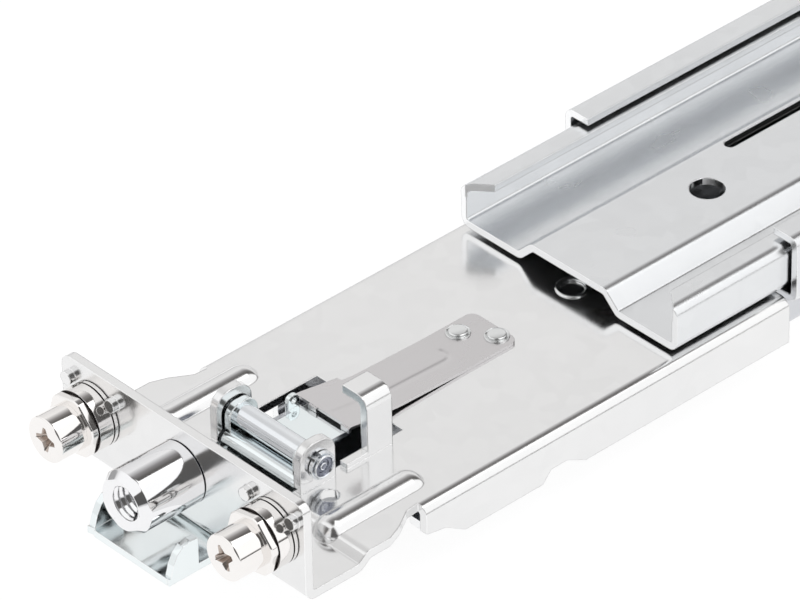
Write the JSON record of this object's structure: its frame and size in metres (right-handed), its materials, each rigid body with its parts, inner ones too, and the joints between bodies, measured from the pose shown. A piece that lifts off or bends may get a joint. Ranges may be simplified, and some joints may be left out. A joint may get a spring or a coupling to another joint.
{
  "type": "server rack slide rail",
  "caption": "Adjustable-depth slide rail for one side of a rack, with tool-less post brackets, sprung hook latches, a telescoping arm and a ball slide.",
  "frame": {"origin": "axis of the centre nut at the front face of the front post flange", "axes": "+X along the rail from the front post to the rear post, +Y across the rail and up in the rack, +Z away from the server"},
  "size_m": [0.639, 0.0428, 0.0221],
  "materials": {
    "bracket_steel": "zinc plated sheet, satin",
    "channel_steel": "zinc plated roll-formed sheet, satin",
    "slide_steel": "zinc plated roll-formed sheet, satin",
    "pin_nickel": "nickel plated, polished",
    "nut_zinc": "zinc plated, bright",
    "lever_zinc": "blue passivated zinc, satin",
    "pivot_steel": "bright steel",
    "spring_steel": "stainless strip, rolled",
    "rivet_steel": "zinc plated, satin",
    "cage_steel": "cold rolled strip",
    "ball_steel": "hardened, polished",
    "bumper_rubber": "matt"
  },
  "bodies": {
    "front_section": {"front_bracket": "bracket_steel", "front_rack_pins": "pin_nickel", "front_pin_collars": "pin_nickel", "front_centre_nut": "nut_zinc", "front_pivot_pin": "pivot_steel", "front_retaining_rings": "pivot_steel", "front_leaf_spring": "spring_steel", "front_spring_rivets": "rivet_steel", "plate_rivets": "rivet_steel", "guide_channel": "channel_steel", "guide_rivets": "rivet_steel", "slide_outer": "slide_steel", "stop_bumper": "bumper_rubber"},
    "rear_arm": {"arm_channel": "channel_steel", "rear_bracket": "bracket_steel", "rear_tongue_rivets": "rivet_steel", "rear_rack_pins": "pin_nickel", "rear_pin_collars": "pin_nickel", "rear_centre_nut": "nut_zinc", "rear_pivot_pin": "pivot_steel", "rear_retaining_rings": "pivot_steel", "rear_leaf_spring": "spring_steel", "rear_spring_rivets": "rivet_steel"},
    "front_lever": {"front_latch_lever": "lever_zinc", "front_pivot_tube": "pivot_steel"},
    "rear_lever": {"rear_latch_lever": "lever_zinc", "rear_pivot_tube": "pivot_steel"},
    "slide_member": {"chassis_rail": "slide_steel"},
    "ball_retainer": {"ball_cage": "cage_steel", "slide_balls": "ball_steel"}
  },
  "joints": [
    {"name": "depth_slide", "type": "slide", "parent": "front_section", "child": "rear_arm", "axis": [1, 0, 0], "range_m": [0, 0.23]},
    {"name": "server_slide", "type": "slide", "parent": "front_section", "child": "slide_member", "axis": [-1, 0, 0], "range_m": [0, 0.34]},
    {"name": "cage_slide", "type": "slide", "parent": "front_section", "child": "ball_retainer", "axis": [-1, 0, 0], "range_m": [0, 0.171]},
    {"name": "front_latch", "type": "hinge", "parent": "front_section", "child": "front_lever", "pos_m": [0.0145, 0, -0.0021], "axis": [0, -1, 0], "range_deg": [0, 12], "stiffness_Nm_per_rad": 0.1, "springref_deg": -11.46, "deforming": ["front_leaf_spring"]},
    {"name": "rear_latch", "type": "hinge", "parent": "rear_arm", "child": "rear_lever", "pos_m": [0.6055, 0, -0.0021], "axis": [0, 1, 0], "range_deg": [0, 12], "stiffness_Nm_per_rad": 0.1, "springref_deg": -11.46, "deforming": ["rear_leaf_spring"]}
  ],
  "couplings": [
    {"joint": "cage_slide", "follows": "server_slide", "ratio": 0.5}
  ]
}
